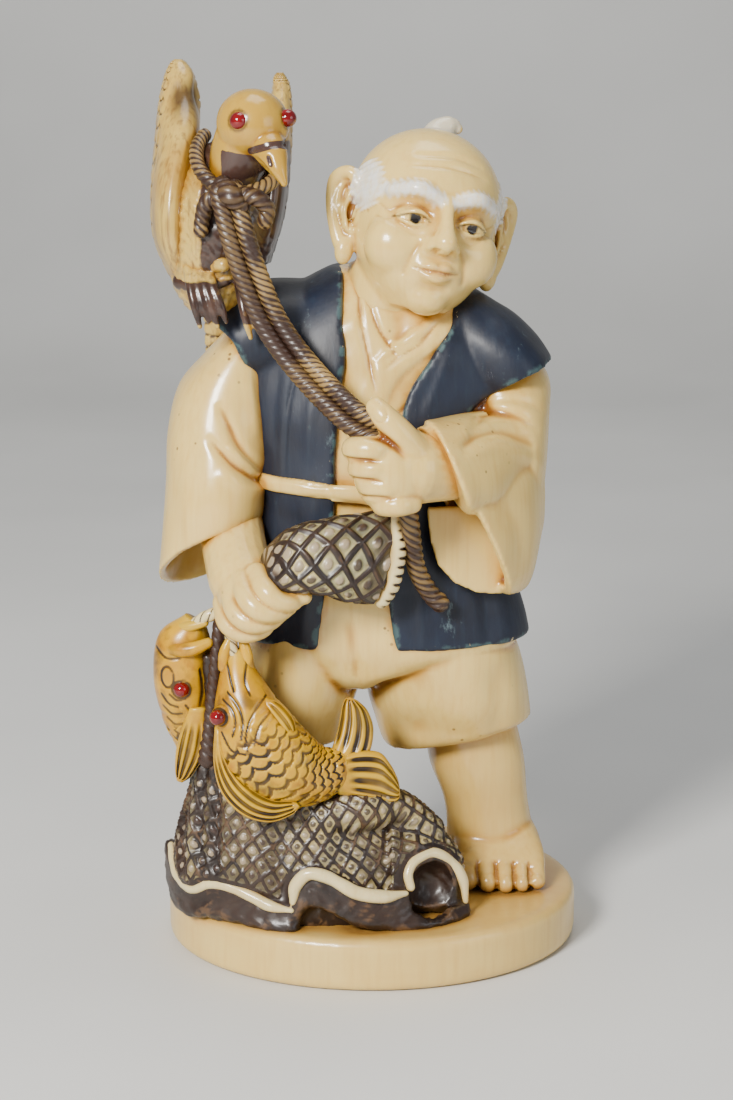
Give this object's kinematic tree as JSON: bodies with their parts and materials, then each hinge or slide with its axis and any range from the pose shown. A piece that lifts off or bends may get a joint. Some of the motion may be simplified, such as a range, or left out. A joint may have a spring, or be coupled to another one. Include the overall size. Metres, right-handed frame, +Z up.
{
  "type": "bone okimono",
  "caption": "Carved bone-like okimono of an old fisherman with a cormorant on his shoulder, a rope, a cast net and carp, on a low round base.",
  "frame": {"origin": "centre of the base's underside", "axes": "+Z up, the figure faces -Y, and the figure's own left is +X"},
  "size_m": [0.0723, 0.0648, 0.1496],
  "materials": {
    "bone": "polished, honey stain in the cuts",
    "base_bone": "polished, faint growth bands",
    "red_bead": "polished glassy bead"
  },
  "bodies": {
    "root": {"base": "base_bone", "figure": "bone", "cormorant_eye_right": "red_bead", "cormorant_eye_left": "red_bead", "carp_eye_front": "red_bead", "carp_eye_back": "red_bead"}
  },
  "joints": []
}
